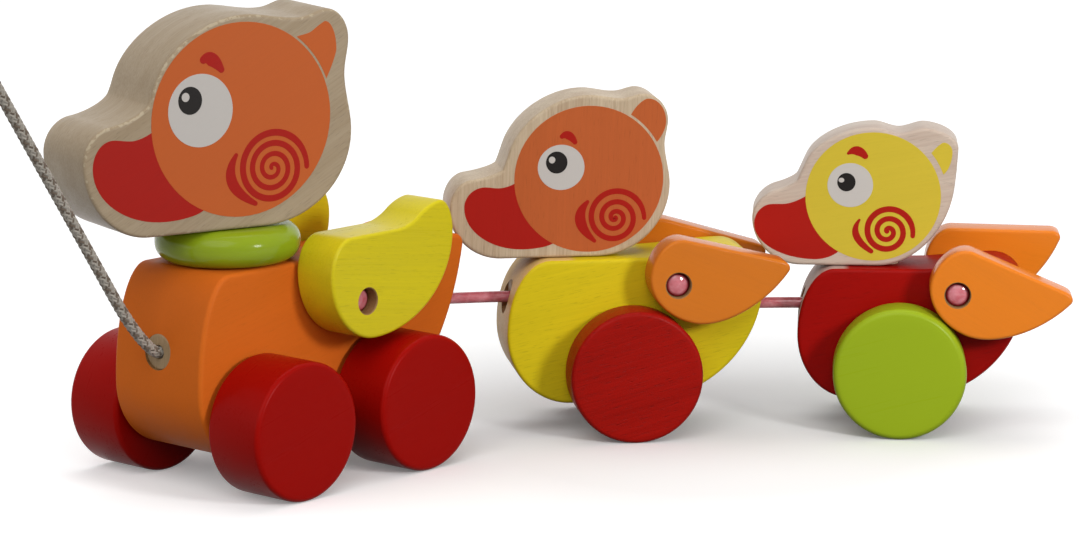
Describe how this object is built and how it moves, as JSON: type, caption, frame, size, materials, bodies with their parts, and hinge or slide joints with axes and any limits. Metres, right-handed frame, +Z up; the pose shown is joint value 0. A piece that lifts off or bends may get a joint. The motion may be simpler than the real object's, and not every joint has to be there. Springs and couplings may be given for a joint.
{
  "type": "wheeled pull toy",
  "caption": "Wooden duck on wheels that leads ducklings on soft cord links, with swinging wings, a turning head and a braided pull cord.",
  "frame": {"origin": "middle of the toy's footprint on the floor, measured without the pull cord", "axes": "+Z up, +X along the train from the mother's side to the last duckling, +Y to the side away from the viewer"},
  "size_m": [0.3548, 0.1931, 0.1587],
  "materials": {
    "orange_paint": "satin paint on wood",
    "red_paint": "satin paint on wood",
    "yellow_paint": "satin paint on wood",
    "lime_paint": "gloss paint on wood",
    "pale_wood": "sanded and clear coated",
    "pink_soft_plastic": "soft, slightly clear",
    "grey_braid": "braided",
    "zinc_plated_steel": "zinc plated"
  },
  "bodies": {
    "mother": {"mother_body": "orange_paint", "mother_wing_cord": "pink_soft_plastic", "cord_plug": "pale_wood", "cord_knot": "grey_braid", "mother_tail_plug": "pale_wood", "mother_tail_knot": "pink_soft_plastic", "pull_cord": "grey_braid", "pull_cord_end_knot": "grey_braid", "duckling_1_link": "pink_soft_plastic"},
    "mother_front_wheels": {"mother_front_left_wheel": "red_paint", "mother_front_right_wheel": "red_paint", "mother_front_axle": "pale_wood"},
    "mother_rear_wheels": {"mother_rear_left_wheel": "red_paint", "mother_rear_right_wheel": "red_paint", "mother_rear_axle": "pale_wood"},
    "mother_head": {"mother_head": "pale_wood", "neck_collar": "lime_paint", "neck_dowel": "pale_wood", "neck_screw": "zinc_plated_steel"},
    "mother_left_wing": {"mother_left_wing": "yellow_paint"},
    "mother_right_wing": {"mother_right_wing": "yellow_paint"},
    "duckling_1": {"duckling_1_body": "yellow_paint", "duckling_1_head": "pale_wood", "duckling_1_front_peg": "pale_wood", "duckling_1_rear_peg": "pale_wood", "duckling_1_wing_cord": "pink_soft_plastic", "duckling_1_chest_plug": "pale_wood", "duckling_1_chest_knot": "pink_soft_plastic", "duckling_1_tail_plug": "pale_wood", "duckling_1_tail_knot": "pink_soft_plastic", "duckling_2_link": "pink_soft_plastic"},
    "duckling_1_wheels": {"duckling_1_left_wheel": "red_paint", "duckling_1_right_wheel": "red_paint", "duckling_1_axle": "pale_wood"},
    "duckling_1_left_wing": {"duckling_1_left_wing": "orange_paint"},
    "duckling_1_right_wing": {"duckling_1_right_wing": "orange_paint"},
    "duckling_2": {"duckling_2_body": "red_paint", "duckling_2_head": "pale_wood", "duckling_2_front_peg": "pale_wood", "duckling_2_rear_peg": "pale_wood", "duckling_2_wing_cord": "pink_soft_plastic", "duckling_2_chest_plug": "pale_wood", "duckling_2_chest_knot": "pink_soft_plastic"},
    "duckling_2_wheels": {"duckling_2_left_wheel": "lime_paint", "duckling_2_right_wheel": "lime_paint", "duckling_2_axle": "pale_wood"},
    "duckling_2_left_wing": {"duckling_2_left_wing": "orange_paint"},
    "duckling_2_right_wing": {"duckling_2_right_wing": "orange_paint"}
  },
  "joints": [
    {"name": "mother_front_wheels_roll", "type": "hinge", "parent": "mother", "child": "mother_front_wheels", "pos_m": [-0.118, -0.0355, 0.0225], "axis": [-0.7466, 0.6652, 0], "continuous": true},
    {"name": "mother_rear_wheels_roll", "type": "hinge", "parent": "mother", "child": "mother_rear_wheels", "pos_m": [-0.08035, 0.00676, 0.0225], "axis": [-0.7466, 0.6652, 0], "continuous": true},
    {"name": "mother_head_turn", "type": "hinge", "parent": "mother", "child": "mother_head", "pos_m": [-0.11262, -0.02945, 0.0843], "axis": [0, 0, 1], "range_deg": [-73, 107]},
    {"name": "mother_left_wing_swing", "type": "hinge", "parent": "mother", "child": "mother_left_wing", "pos_m": [-0.07397, -0.02862, 0.0589], "axis": [-0.7466, 0.6652, 0], "range_deg": [-38, 10]},
    {"name": "mother_right_wing_swing", "type": "hinge", "parent": "mother", "child": "mother_right_wing", "pos_m": [-0.11623, 0.00903, 0.0589], "axis": [-0.7466, 0.6652, 0], "range_deg": [-42, 6]},
    {"name": "duckling_1_swing", "type": "hinge", "parent": "mother", "child": "duckling_1", "pos_m": [-0.05598, 0.03411, 0.04595], "axis": [0, 0, 1], "range_deg": [-1, 80], "deforming": ["duckling_1_link"]},
    {"name": "duckling_1_wheels_roll", "type": "hinge", "parent": "duckling_1", "child": "duckling_1_wheels", "pos_m": [0.01636, 0.04492, 0.0225], "axis": [-0.1478, 0.989, 0], "continuous": true},
    {"name": "duckling_1_left_wing_swing", "type": "hinge", "parent": "duckling_1", "child": "duckling_1_left_wing", "pos_m": [0.03358, 0.02647, 0.0532], "axis": [-0.1478, 0.989, 0], "range_deg": [-68, 13]},
    {"name": "duckling_1_right_wing_swing", "type": "hinge", "parent": "duckling_1", "child": "duckling_1_right_wing", "pos_m": [0.02743, 0.06761, 0.0532], "axis": [-0.1478, 0.989, 0], "range_deg": [-71, 10]},
    {"name": "duckling_2_swing", "type": "hinge", "parent": "duckling_1", "child": "duckling_2", "pos_m": [0.06844, 0.05271, 0.04125], "axis": [0, 0, 1], "range_deg": [-27, 52], "deforming": ["duckling_2_link"]},
    {"name": "duckling_2_wheels_roll", "type": "hinge", "parent": "duckling_2", "child": "duckling_2_wheels", "pos_m": [0.11107, 0.04973, 0.0225], "axis": [0.0698, 0.9976, 0], "continuous": true},
    {"name": "duckling_2_left_wing_swing", "type": "hinge", "parent": "duckling_2", "child": "duckling_2_left_wing", "pos_m": [0.12857, 0.02765, 0.0496], "axis": [0.0698, 0.9976, 0], "range_deg": [-78, 6]},
    {"name": "duckling_2_right_wing_swing", "type": "hinge", "parent": "duckling_2", "child": "duckling_2_right_wing", "pos_m": [0.13147, 0.06915, 0.0496], "axis": [0.0698, 0.9976, 0], "range_deg": [-56, 28]}
  ]
}
